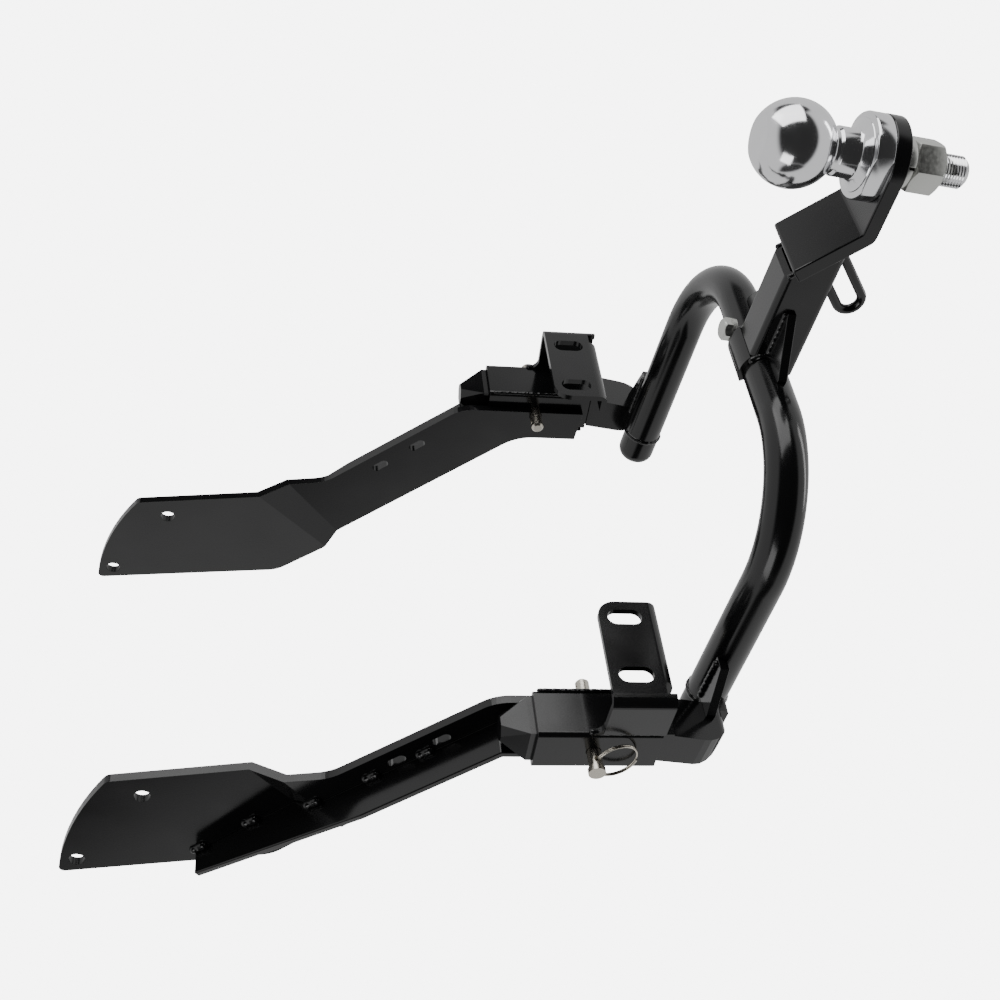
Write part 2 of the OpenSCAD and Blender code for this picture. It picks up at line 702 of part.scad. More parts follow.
// Flat bar on edge along the strip's outer face, bent at its lower end to meet the receiver
module stiffener() {
    half = stiffener_t / 2;
    foot = from_receiver(receiver_d / 2 + 1, receiver_up + 0.6);
    // The bend is where the upright end meets the line of the strip
    rise = (stiffener_line - foot[0] + foot[1]) / (tan(lean) - 1);
    knee = foot + [rise * tan(lean), rise];
    top = [stiffener_top, stiffener_top - stiffener_line];
    slant = [half / sqrt(2), -half / sqrt(2)];
    level = half * [cos(lean), -sin(lean)];
    mitre = half * unit([1, -1] / sqrt(2) + [cos(lean), -sin(lean)]) / cos((45 - lean) / 2);
    s_top = (top[0] + top[1]) / sqrt(2);
    s_full = (2 * stiffener_full - stiffener_line) / sqrt(2);
    s_strip = crease_low - side_t;
    color(black) difference() {
        intersection() {
            across(face_x, receiver_x1 + stiffener_h) polygon([foot - level, foot + level, knee + mitre,
                top + slant, top - slant, knee - mitre]);
            along_crease() polygon([[0, receiver_x0], [s_strip, receiver_x0], [s_strip, face_x],
                [s_top + 5, face_x], [s_top + 5, outer_face(top[0]) + stiffener_tip_h],
                [s_full, receiver_x0 + stiffener_h - 1], [0, receiver_x0 + stiffener_h]]);
        }
        inboard_of(side_t);
    }
}

module receiver() {
    color(black) in_receiver() difference() {
        translate([receiver_cx, 0, -receiver_down]) linear_extrude(height = receiver_up + receiver_down)
            difference() {
                round_square(receiver_w, receiver_d, receiver_corner_r);
                square([receiver_w - 2 * receiver_wall, receiver_d - 2 * receiver_wall], center = true);
            }
        translate([receiver_cx, 0, 0]) rotate([0, 90, 0])
            cylinder(d = pin_d + 2 * pin_gap, h = 2 * receiver_w, center = true);
    }
}

// Bent sheet behind the receiver: a tab in line with the outer wall, a slotted face, and a lip
module slot_bracket() {
    x1 = receiver_x1 + tab_splay;
    x0 = x1 - slot_bracket_w;
    y0 = slot_rear_y;
    edge = -receiver_d / 2;
    color(black) in_receiver() difference() {
        union() {
            // Tab and slotted face, with the bend between them
            translate([0, 0, slot_bracket_low]) linear_extrude(height = slot_bracket_h) {
                polygon(concat([[x0, y0]], arc([x1 - slot_bend_r, y0 + slot_bend_r], slot_bend_r, -90, 0),
                    [[receiver_x1, edge + eps], [receiver_x1 - sheet_t, edge + eps]],
                    arc([x1 - slot_bend_r, y0 + slot_bend_r], slot_bend_r - sheet_t, 0, -90),
                    [[x0, y0 + sheet_t]]));
            }
            // Fillet of the tab's foot above its top edge
            across(receiver_x1 - sheet_t, receiver_x1) polygon(concat([[edge + eps, slot_bracket_top - 1],
                [edge + eps, slot_bracket_top + slot_foot_r]],
                arc([edge - slot_foot_r, slot_bracket_top + slot_foot_r], slot_foot_r, 0, -90),
                [[edge - slot_foot_r, slot_bracket_top - 1]]));
            // Lip along the lower edge, bent forwards
            across(x0 + 3, x1 - slot_bend_r - slot_lip_gap) polygon(concat(
                arc([y0 + slot_bend_r, slot_bracket_low + slot_bend_r], slot_bend_r, 180, 270),
                [[y0 + slot_lip, slot_bracket_low], [y0 + slot_lip, slot_bracket_low + sheet_t]],
                arc([y0 + slot_bend_r, slot_bracket_low + slot_bend_r], slot_bend_r - sheet_t, 270, 180)));
        }
        // The slotted face ends short of the lip's bend, outside the lip it stops at the relief
        across(x0 + 3 - 20, x1 - slot_bend_r - slot_lip_gap) polygon([[y0 - 1, slot_bracket_low - 1],
            [y0 + slot_bend_r, slot_bracket_low - 1],
            each arc([y0 + slot_bend_r, slot_bracket_low + slot_bend_r], slot_bend_r, 270, 180),
            [y0 - 1, slot_bracket_low + slot_bend_r]]);
        translate([x1 - slot_bend_r - slot_lip_gap, y0 - 5, slot_bracket_low - 5])
            cube([slot_lip_gap, 5 + slot_bend_r + sheet_t, 5 + slot_bend_r - 1]);
        for (x = [slot_x_out, slot_x_out - slot_pitch]) translate([x, y0 + 10, slot_mid_z])
            rotate([90, 0, 0]) linear_extrude(height = 20) rotate(90) slot_shape(slot_l, slot_w);
        // Rounded inner corner of the slotted face
        translate([x0, y0 - 5, slot_bracket_top]) rotate([-90, 0, 0]) linear_extrude(height = 20)
            difference() {
                translate([-1, -1]) square(slot_corner_r + 1);
                translate([slot_corner_r, slot_corner_r]) circle(slot_corner_r);
            }
    }
}

module lock_pin() {
    taper = 1.5;
    color(nickel) translate([0, pin_y, pin_z]) difference() {
        union() {
            translate([pin_tail_x, 0, 0]) rotate([0, 90, 0]) cylinder(d1 = pin_d - 2 * taper, d2 = pin_d, h = taper);
            translate([pin_tail_x + taper, 0, 0]) rotate([0, 90, 0])
                cylinder(d = pin_d, h = pin_head_x - pin_tail_x - taper);
            translate([pin_head_x - eps, 0, 0]) rotate([0, 90, 0]) cylinder(d = pin_head_d, h = pin_head_t);
        }
        translate([ring_hole_x, 0, 0]) rotate([90, 0, 0]) cylinder(d = ring_hole_d, h = 2 * pin_d, center = true);
        translate([detent_x, 0, detent_floor]) cylinder(r = detent_hole_r, h = pin_d);
    }
}

module pin_ring() {
    color(nickel) translate([ring_hole_x, pin_y, pin_z]) rotate([0, ring_rest, 0])
        translate([0, 0, -ring_r]) rotate([0, 90, 0])
        rotate_extrude() translate([ring_r, 0]) circle(d = ring_wire, $fn = 24);
}

module detent_ball() {
    color(nickel) translate([detent_x, pin_y, pin_z + pin_d / 2 + detent_out - detent_r])
        sphere(r = detent_r, $fn = 32);
}

// Points of a ring of the spring's wire at turn fraction t
function spring_ring(t, h) = [for (k = [0:5])
    let (a = 360 * spring_turns * t, r = detent_r - 0.35 + spring_wire_r * cos(60 * k))
    [r * cos(a), r * sin(a), spring_wire_r + t * (h - 2 * spring_wire_r) + spring_wire_r * sin(60 * k)]];

module detent_spring() {
    h = pin_d / 2 + detent_out - 2 * detent_r - detent_floor - 0.02;
    steps = 10 * spring_turns;
    rings = [for (i = [0:steps]) spring_ring(i / steps, h)];
    color(nickel) translate([detent_x, pin_y, pin_z + detent_floor + 0.01]) polyhedron(
        points = [for (r = rings) each r],
        faces = concat([[5, 4, 3, 2, 1, 0]],
            [for (i = [0:steps - 1], k = [0:5]) [6 * i + k, 6 * i + (k + 1) % 6, 6 * i + 6 + (k + 1) % 6, 6 * i + 6 + k]],
            [[for (k = [0:5]) 6 * steps + k]]));
}

hitch_ball();
ball_flat_washer();
ball_lock_washer();
ball_nut();
ball_plate();
drawbar();
upper_saddle();
lower_saddle();
to_left() drawbar_gusset();  // left_drawbar_gusset
drawbar_gusset();  // right_drawbar_gusset
chain_loop();
tongue_tube();
accessory_insert();
accessory_bolt();
to_left() tube_plug();  // left_tube_plug
tube_plug();  // right_tube_plug
to_left() prong();  // left_prong
prong();  // right_prong
to_left() foot_gusset();  // left_foot_gusset
foot_gusset();  // right_foot_gusset
to_left() side_plate();  // left_side_plate
side_plate();  // right_side_plate
to_left() stiffener();  // left_stiffener
stiffener();  // right_stiffener
to_left() receiver();  // left_receiver
receiver();  // right_receiver
to_left() slot_bracket();  // left_slot_bracket
slot_bracket();  // right_slot_bracket
to_left() lock_pin();  // left_lock_pin
lock_pin();  // right_lock_pin
to_left() pin_ring();  // left_pin_ring
pin_ring();  // right_pin_ring
to_left() detent_ball();  // left_detent_ball
detent_ball();  // right_detent_ball
to_left() detent_spring();  // left_detent_spring
detent_spring();  // right_detent_spring
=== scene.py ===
"""Looks of a detachable ball hitch for a touring motorcycle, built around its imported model.

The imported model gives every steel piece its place. This script paints those pieces, rounds their
edges, adds the weld beads that join them, and puts detailed pieces in place of the ball, its nut
and split washer, and the lock pins' pull rings.
"""
import json
import logging
import math
from dataclasses import dataclass
from enum import Enum
from typing import Any, Optional, Sequence

import bpy
from mathutils import Matrix, Vector


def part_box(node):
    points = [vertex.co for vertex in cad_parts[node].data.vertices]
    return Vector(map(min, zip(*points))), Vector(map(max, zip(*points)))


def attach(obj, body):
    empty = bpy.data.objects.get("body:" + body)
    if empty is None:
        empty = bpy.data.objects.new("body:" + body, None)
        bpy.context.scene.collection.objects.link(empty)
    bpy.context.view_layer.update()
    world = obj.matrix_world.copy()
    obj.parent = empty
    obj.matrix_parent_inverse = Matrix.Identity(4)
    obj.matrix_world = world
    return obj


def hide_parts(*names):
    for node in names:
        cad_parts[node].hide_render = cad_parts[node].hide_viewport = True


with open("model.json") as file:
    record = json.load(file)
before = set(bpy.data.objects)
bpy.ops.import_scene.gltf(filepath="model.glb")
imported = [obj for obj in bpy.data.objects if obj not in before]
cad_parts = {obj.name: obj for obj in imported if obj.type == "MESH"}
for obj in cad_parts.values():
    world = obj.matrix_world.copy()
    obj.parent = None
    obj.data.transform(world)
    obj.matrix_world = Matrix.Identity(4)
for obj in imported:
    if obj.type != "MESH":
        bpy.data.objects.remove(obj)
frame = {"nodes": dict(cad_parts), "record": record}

LOG = logging.getLogger("hitch")
MM = 0.001


class Slot(Enum):
    """The record's material slots."""
    BLACK = "black_powder_coat"
    CHROME = "bright_chrome"
    ZINC = "zinc_plate"
    NICKEL = "nickel_plate"


def hex_colour(code: str) -> tuple[float, float, float, float]:
    """Turn an sRGB hex colour into the linear colour a shader socket takes.

    Args:
        code: six hex digits, with or without a leading hash.

    Returns:
        Linear red, green, blue and an alpha of one.
    """
    digits = code.lstrip("#")
    channels = [int(digits[i:i + 2], 16) / 255 for i in (0, 2, 4)]
    linear = [c / 12.92 if c <= 0.04045 else ((c + 0.055) / 1.055) ** 2.4 for c in channels]
    return linear[0], linear[1], linear[2], 1.0


def add_node(tree: bpy.types.NodeTree, kind: str, settings: Optional[dict[str, Any]] = None,
             **sockets: Any) -> bpy.types.Node:
    """Add a node, set its properties and fill or link its inputs.

    Args:
        tree: the node tree it goes in.
        kind: the node's type name.
        settings: node properties by name.
        **sockets: input values, or output sockets to link from, by input name with _ for a space.

    Returns:
        The new node.
    """
    node = tree.nodes.new(kind)
    for name, value in (settings or {}).items():
        setattr(node, name, value)
    for name, value in sockets.items():
        key: Any = int(name[1:]) if name[0] == "i" and name[1:].isdigit() else name.replace("_", " ")
        socket = node.inputs[key]
        if isinstance(value, bpy.types.NodeSocket):
            tree.links.new(value, socket)
        else:
            socket.default_value = value
    return node


def new_material(name: str) -> tuple[bpy.types.Material, bpy.types.NodeTree, bpy.types.NodeSocket]:
    """Start a node material with only its output and an object coordinate.

    Args:
        name: the material's name.

    Returns:
        The material, its tree and the object coordinate's socket.
    """
    material = bpy.data.materials.new(name)
    material.use_nodes = True
    tree = material.node_tree
    tree.nodes.clear()
    place = add_node(tree, "ShaderNodeTexCoord").outputs["Object"]
    return material, tree, place


@dataclass(frozen=True)
class PowderCoat:
    """Baked gloss black powder coat over steel: deep black, with a faint orange-peel ripple."""
    name: str = "gloss_black_powder_coat"
    colour: str = "#0d0d0e"
    roughness: float = 0.16
    peel_mm: float = 1.6
    peel_depth_mm: float = 0.006
    haze_mm: float = 1000 / 24

    def make(self) -> bpy.types.Material:
        """Build the material and return it."""
        material, tree, place = new_material(self.name)
        peel = add_node(tree, "ShaderNodeTexNoise", Vector=place, Scale=1 / (self.peel_mm * MM),
                        Detail=2.0, Roughness=0.4)
        haze = add_node(tree, "ShaderNodeTexNoise", Vector=place, Scale=1 / (self.haze_mm * MM),
                        Detail=3.0)
        rough = add_node(tree, "ShaderNodeMapRange", Value=haze.outputs["Fac"], From_Min=0.3,
                         From_Max=0.7, To_Min=self.roughness - 0.04, To_Max=self.roughness + 0.05)
        bump = add_node(tree, "ShaderNodeBump", Height=peel.outputs["Fac"], Strength=0.35,
                        Distance=self.peel_depth_mm * MM)
        paint = add_node(tree, "ShaderNodeBsdfPrincipled", Base_Color=hex_colour(self.colour), IOR=1.5,
                         Roughness=rough.outputs["Result"], Normal=bump.outputs["Normal"])
        add_node(tree, "ShaderNodeOutputMaterial", Surface=paint.outputs["BSDF"])
        return material


@dataclass(frozen=True)
class PlatedMetal:
    """A plated steel finish: chrome, zinc or nickel, with faint uneven haze from the bath."""
    name: str
    colour: str
    dark: str
    roughness: float
    haze: float
    grain_mm: float

    def make(self) -> bpy.types.Material:
        """Build the material and return it."""
        material, tree, place = new_material(self.name)
        cloud = add_node(tree, "ShaderNodeTexNoise", Vector=place, Scale=1 / (self.grain_mm * MM),
                         Detail=4.0)
        tone = add_node(tree, "ShaderNodeMix", {"data_type": "RGBA"}, i0=cloud.outputs["Fac"],
                        i6=hex_colour(self.dark), i7=hex_colour(self.colour))
        rough = add_node(tree, "ShaderNodeMapRange", Value=cloud.outputs["Fac"], From_Min=0.35,
                         From_Max=0.65, To_Min=self.roughness, To_Max=self.roughness + self.haze)
        metal = add_node(tree, "ShaderNodeBsdfPrincipled", Base_Color=tone.outputs[2], Metallic=1.0,
                         Roughness=rough.outputs["Result"])
        add_node(tree, "ShaderNodeOutputMaterial", Surface=metal.outputs["BSDF"])
        return material


@dataclass(frozen=True)
class Finishes:
    """The four finishes of the hitch, one per slot."""
    black: bpy.types.Material
    chrome: bpy.types.Material
    zinc: bpy.types.Material
    nickel: bpy.types.Material

    @classmethod
    def make(cls) -> "Finishes":
        """Build every finish and return them together."""
        # Chrome over polished steel: a clear mirror with hardly any haze.
        chrome = PlatedMetal("bright_chrome_plate", "#e6e6e8", "#dcdcde", 0.11, 0.05, 14.0)
        # Zinc with a clear passivate: pale grey and cloudy, with soft reflections.
        zinc = PlatedMetal("clear_zinc_plate", "#c9cac6", "#b4b5b1", 0.3, 0.12, 2.0)
        # Nickel on drawn wire and turned pins: a warmer grey with a satin shine.
        nickel = PlatedMetal("satin_nickel_plate", "#cfcabf", "#b9b4a9", 0.2, 0.1, 1.5)
        return cls(PowderCoat().make(), chrome.make(), zinc.make(), nickel.make())

    def of(self, slot: Slot) -> bpy.types.Material:
        """Return the material of a slot."""
        return {Slot.BLACK: self.black, Slot.CHROME: self.chrome, Slot.ZINC: self.zinc,
                Slot.NICKEL: self.nickel}[slot]


def alone(piece: Optional[bpy.types.Object] = None) -> None:
    """Deselect everything, then select one object and make it active.

    Args:
        piece: the object to work on, or None to leave nothing selected.
    """
    if bpy.context.object and bpy.context.object.mode != "OBJECT":
        bpy.ops.object.mode_set(mode="OBJECT")
    bpy.ops.object.select_all(action="DESELECT")
    if piece:
        piece.select_set(True)
        bpy.context.view_layer.objects.active = piece


def settle(piece: bpy.types.Object) -> None:
    """Put a piece's place and turn into its mesh, so that its object sits at the origin."""
    alone(piece)
    bpy.ops.object.transform_apply(location=True, rotation=True, scale=True)


def turned_outwards(piece: bpy.types.Object) -> None:
    """Merge doubled corners and point every face outwards."""
    alone(piece)
    bpy.ops.object.mode_set(mode="EDIT")
    bpy.ops.mesh.select_all(action="SELECT")
    bpy.ops.mesh.remove_doubles(threshold=0.005 * MM)
    bpy.ops.mesh.normals_make_consistent(inside=False)
    bpy.ops.object.mode_set(mode="OBJECT")


def joined(pieces: Sequence[bpy.types.Object], name: str) -> bpy.types.Object:
    """Join several meshes into one object.

    Args:
        pieces: the objects, of which the first stays.
        name: the new name.

    Returns:
        The joined object.
    """
    alone(pieces[0])
    for piece in pieces[1:]:
        piece.select_set(True)
    if len(pieces) > 1:
        bpy.ops.object.join()
    pieces[0].name = name
    return pieces[0]


def lathe(name: str, profile: Sequence[tuple[float, float]], sides: int = 96) -> bpy.types.Object:
    """Turn a closed solid about the Z axis, ring by ring.

    Args:
        name: the object's name.
        profile: radius and height of each ring in millimetres, from one end to the other.
        sides: how many corners each ring has.

    Returns:
        The solid, standing on the Z axis.
    """
    alone()
    radius, height = profile[0]
    bpy.ops.mesh.primitive_circle_add(vertices=sides, radius=radius * MM, location=(0, 0, height * MM),
                                      fill_type="NGON")
    piece = bpy.context.object
    piece.name = name
    settle(piece)
    bpy.ops.object.mode_set(mode="EDIT")
    bpy.ops.mesh.select_all(action="SELECT")
    for next_radius, next_height in profile[1:]:
        bpy.ops.mesh.extrude_region_move(
            TRANSFORM_OT_translate={"value": (0, 0, (next_height - height) * MM)})
        share = next_radius / radius
        bpy.ops.transform.resize(value=(share, share, 1), center_override=(0, 0, next_height * MM))
        radius, height = next_radius, next_height
    bpy.ops.object.mode_set(mode="OBJECT")
    turned_outwards(piece)
    return piece


def coil(name: str, radius: float, wire: float, pitch: float, turns: float, corners: int,
         steps: int = 48) -> bpy.types.Object:
    """Wind a closed wire about the Z axis with a Screw modifier.

    Args:
        name: the object's name.
        radius: distance of the wire's axis from the coil's, in millimetres.
        wire: radius of the wire's section, in millimetres.
        pitch: rise of each turn, in millimetres.
        turns: how many turns it has.
        corners: how many corners the wire's section has.
        steps: how many stretches each turn has.

    Returns:
        The wire, closed at both ends.
    """
    alone()
    bpy.ops.mesh.primitive_circle_add(vertices=corners, radius=wire * MM, location=(radius * MM, 0, 0),
                                      rotation=(math.pi / 2, 0, 0))
    piece = bpy.context.object
    piece.name = name
    settle(piece)
    screw = piece.modifiers.new("wind", "SCREW")
    screw.angle = math.tau * turns
    screw.screw_offset = pitch * turns * MM
    screw.steps = screw.render_steps = round(steps * turns)
    screw.use_merge_vertices = False
    bpy.ops.object.modifier_apply(modifier=screw.name)
    bpy.ops.object.mode_set(mode="EDIT")
    bpy.ops.mesh.select_all(action="DESELECT")
    bpy.ops.mesh.select_mode(type="EDGE")
    bpy.ops.mesh.select_non_manifold()
    bpy.ops.mesh.fill_holes(sides=0)
    bpy.ops.object.mode_set(mode="OBJECT")
    turned_outwards(piece)
    return piece


def smooth(piece: bpy.types.Object, degrees: float = 32.0) -> None:
    """Shade a piece smooth wherever its faces meet flatter than an angle."""
    alone(piece)
    bpy.ops.object.shade_smooth_by_angle(angle=math.radians(degrees))


def finish(piece: bpy.types.Object, material: bpy.types.Material, body: str,
           replaced: Sequence[str] = ()) -> None:
    """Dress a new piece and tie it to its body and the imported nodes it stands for.

    Args:
        piece: the object.
        material: its finish.
        body: the body that it moves with.
        replaced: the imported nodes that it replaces.
    """
    piece.data.materials.clear()
    piece.data.materials.append(material)
    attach(piece, body)
    if replaced:
        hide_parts(*replaced)
    LOG.info("%s rides on %s", piece.name, body)


def arc_rings(centre: tuple[float, float], radius: float, start: float, end: float,
              count: int) -> list[tuple[float, float]]:
    """List points of an arc, for a lathe's profile.

    Args:
        centre: radius and height of its centre, in millimetres.
        radius: its radius.
        start, end: its first and last angle in degrees, from straight out.
        count: how many stretches it has.

    Returns:
        Radius and height of each point.
    """
    angles = [math.radians(start + (end - start) * i / count) for i in range(count + 1)]
    return [(centre[0] + radius * math.cos(a), centre[1] + radius * math.sin(a)) for a in angles]


@dataclass
class TowBall:
    """Chromed ball with its neck, flange and threaded shank, and the nut and washers below the plate."""
    finishes: Finishes
    ball_d: float = 50.8
    flat_d: float = 27.0
    neck_d: float = 28.6
    groove_d: float = 26.4
    flange_d: float = 50.4
    flats: float = 44.4
    flange_t: float = 11.4
    shank_d: float = 19.0
    thread_pitch: float = 1.8
    washer_gap: float = 0.9
    plate_t: float = 9.5
    nut_flats: float = 28.6
    nut_turn_deg: float = 14.0

    def __post_init__(self) -> None:
        """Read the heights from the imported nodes."""
        self.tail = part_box("hitch_ball")[0][2] / MM
        self.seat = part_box("ball_flat_washer")[1][2] / MM + self.plate_t
        self.nut_low, self.nut_high = (corner[2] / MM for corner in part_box("ball_nut"))
        self.lock_low, self.lock_high = (corner[2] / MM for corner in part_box("ball_lock_washer"))

    def head(self) -> bpy.types.Object:
        """Turn the ball with its flat top, the groove under it, the neck and the flare."""
        ball_r, neck_r = self.ball_d / 2, self.neck_d / 2
        top = math.degrees(math.acos(self.flat_d / self.ball_d))
        low = -math.degrees(math.acos((neck_r - 0.6) / ball_r))
        flange_top = self.seat + self.flange_t
        groove_z = -math.sqrt(ball_r ** 2 - neck_r ** 2)
        profile = [(self.flat_d / 2 - 0.8, ball_r * math.sin(math.radians(top)) + 0.05)]
        profile += arc_rings((0, 0), ball_r, top, low, 44)
        profile += [(self.groove_d / 2, groove_z - 0.4), (self.groove_d / 2, groove_z - 2.6),
                    (neck_r - 0.5, groove_z - 3.4), (neck_r, groove_z - 4.2), (neck_r, flange_top + 5.6),
                    (neck_r + 0.5, flange_top + 4.2), (neck_r + 1.6, flange_top + 3.2),
                    (self.flange_d / 2 - 4.2, flange_top + 0.7), (self.flange_d / 2 - 3.2, flange_top - 1.5)]
        return lathe("tow_ball", profile, 128)

    def flange(self) -> bpy.types.Object:
        """Turn the flange and bisect its two wrench flats."""
        radius, top = self.flange_d / 2, self.seat + self.flange_t
        profile = [(radius - 0.6, self.seat), (radius, self.seat + 0.6), (radius, top - 1.6),
                   (radius - 0.5, top - 0.5), (radius - 1.8, top), (radius - 6, top + 0.3)]
        piece = lathe("flange", profile, 128)
        for side in (-1, 1):
            alone(piece)
            bpy.ops.object.mode_set(mode="EDIT")
            bpy.ops.mesh.select_all(action="SELECT")
            bpy.ops.mesh.bisect(plane_co=(side * self.flats / 2 * MM, 0, 0), plane_no=(side, 0, 0),
                                use_fill=True, clear_outer=True)
            bpy.ops.object.mode_set(mode="OBJECT")
        round_edges(piece, 0.5, 3)
        return piece

    def shank(self) -> list[bpy.types.Object]:
        """Turn the shank's core and wind the thread on its end."""
        root = self.shank_d / 2 - 0.75 * self.thread_pitch
        core = lathe("core", [(root - 1.2, self.tail), (root, self.tail + 1.2), (root, self.seat)], 64)
        turns = (self.nut_high - self.tail - 2.5) / self.thread_pitch
        thread = coil("thread", root + 0.05, 0.72 * self.thread_pitch, self.thread_pitch, turns, 4)
        thread.location.z = (self.tail + 1.6) * MM
        settle(thread)
        return [core, thread]

    def nut(self) -> bpy.types.Object:
        """Cut a hexagonal nut, chamfered at its outer end by a cone."""
        low, high = self.nut_low, self.nut_high
        flat = self.nut_flats / 2
        corner = flat / math.cos(math.radians(30))
        alone()
        bpy.ops.mesh.primitive_cylinder_add(vertices=6, radius=corner * MM, depth=(high - low) * MM,
                                            location=(0, 0, (low + high) / 2 * MM))
        hexagon = bpy.context.object
        hexagon.rotation_euler.z = math.radians(self.nut_turn_deg - 30)
        settle(hexagon)
        profile = [(flat - 1.0, low - 0.01), (flat + 0.2, low + 0.7), (corner + 0.6, low + 2.6),
                   (corner + 0.6, high - 2.2), (flat + 0.2, high - 0.5), (flat - 0.6, high + 0.01)]
        trim(hexagon, lathe("cone", profile, 96))
        hexagon.name = "large_nut"
        bore = lathe("bore", [(self.shank_d / 2 + 1, low - 1), (self.shank_d / 2 + 1, low + 0.2),
                              (self.shank_d / 2 - 0.4, low + 1.4), (self.shank_d / 2 - 0.4, high + 1)], 64)
        trim(hexagon, bore, "DIFFERENCE")
        return hexagon

    def lock_washer(self) -> bpy.types.Object:
        """Wind the split lock washer: one square turn whose ends stand slightly apart."""
        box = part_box("ball_lock_washer")
        outer = (box[1][0] - box[0][0]) / 2 / MM
        inner = self.shank_d / 2 + 0.4
        wide, tall, gap = outer - inner, self.lock_high - self.lock_low, self.washer_gap
        alone()
        middle = ((inner + wide / 2) * MM, 0, (tall - gap) / 2 * MM)
        bpy.ops.mesh.primitive_plane_add(size=1, location=middle, rotation=(math.pi / 2, 0, 0))
        piece = bpy.context.object
        piece.name = "split_washer"
        piece.scale = (wide * MM, (tall - gap) * MM, 1)
        settle(piece)
        screw = piece.modifiers.new("wind", "SCREW")
        screw.angle = math.radians(354)
        screw.screw_offset = gap * MM
        screw.steps = screw.render_steps = 72
        bpy.ops.object.modifier_apply(modifier=screw.name)
        bpy.ops.object.mode_set(mode="EDIT")
        bpy.ops.mesh.select_all(action="DESELECT")
        bpy.ops.mesh.select_mode(type="EDGE")
        bpy.ops.mesh.select_non_manifold()
        bpy.ops.mesh.fill_holes(sides=0)
        bpy.ops.object.mode_set(mode="OBJECT")
        turned_outwards(piece)
        piece.location.z = self.lock_low * MM
        piece.rotation_euler.z = math.radians(200)
        settle(piece)
        round_edges(piece, 0.35, 2)
        return piece

    def build(self) -> None:
        """Make and finish every piece of the ball's stack."""
        chromed = joined([self.head(), self.flange(), *self.shank()], "tow_ball_and_shank")
        smooth(chromed, 28)
        finish(chromed, self.finishes.chrome, "hitch", ["hitch_ball"])
        nut = self.nut()
        round_edges(nut, 0.25, 2)
        smooth(nut)
        finish(nut, self.finishes.zinc, "hitch", ["ball_nut"])
        washer = self.lock_washer()
        smooth(washer)
        finish(washer, self.finishes.zinc, "hitch", ["ball_lock_washer"])


def trim(piece: bpy.types.Object, cutter: bpy.types.Object, how: str = "INTERSECT") -> None:
    """Cut a piece with another solid, which is then removed.

    Args:
        piece: the piece that stays.
        cutter: the solid that shapes it.
        how: the boolean operation.
    """
    alone(piece)
    cut = piece.modifiers.new("trim", "BOOLEAN")
    cut.operation = how
    cut.solver = "EXACT"
    cut.object = cutter
    bpy.ops.object.modifier_apply(modifier=cut.name)
    bpy.data.objects.remove(cutter)
    turned_outwards(piece)


def round_edges(piece: bpy.types.Object, width: float, segments: int, live: bool = False,
                degrees: float = 34.0) -> None:
    """Round the sharp edges of a piece.

    Args:
        piece: the object.
        width: how far the rounding reaches from the edge, in millimetres.
        segments: how many faces go round each edge.
        live: leave the modifiers on the piece instead of applying them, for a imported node.
        degrees: edges sharper than this are rounded.
    """
    alone(piece)
    bevel = piece.modifiers.new("rounding", "BEVEL")
    bevel.width = width * MM
    bevel.segments = segments
    bevel.limit_method = "ANGLE"
    bevel.angle_limit = math.radians(degrees)
    bevel.use_clamp_overlap = True
    if not live:
        bpy.ops.object.modifier_apply(modifier=bevel.name)


@dataclass
class SplitRing:
    """A pin's pull ring: two close turns of spring wire with cut ends."""
    side: str
    finishes: Finishes
    turns: float = 1.94
    wire_d: float = 2.3
    lean_deg: float = 12.0

    def build(self) -> None:
        """Wind the ring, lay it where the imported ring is, and finish it."""
        low, high = (Vector(corner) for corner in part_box(f"{self.side}_pin_ring"))
        middle = (low + high) / 2
        sign = -1 if self.side == "left" else 1
        hang = math.radians(self.lean_deg) * sign
        wire_d = self.wire_d
        radius = (high.y - low.y) / 2 / MM - wire_d / 2
        ring = coil(f"{self.side}_split_ring", radius, wire_d / 4, wire_d / 2, self.turns, 10, 72)
        ring.location.z = -wire_d / 2 * MM * self.turns / 2
        settle(ring)
        ring.rotation_euler = (0, math.pi / 2, 0)
        settle(ring)
        ring.rotation_euler = (0, hang, 0)
        ring.location = middle
        settle(ring)
        smooth(ring, 60)
        finish(ring, self.finishes.nickel, f"{self.side}_ring", [f"{self.side}_pin_ring"])


@dataclass
class Bead:
    """One weld bead: where its ripples lie, how thick it is, and its name."""
    name: str
    points: list[Vector]
    thick: float = 5.0


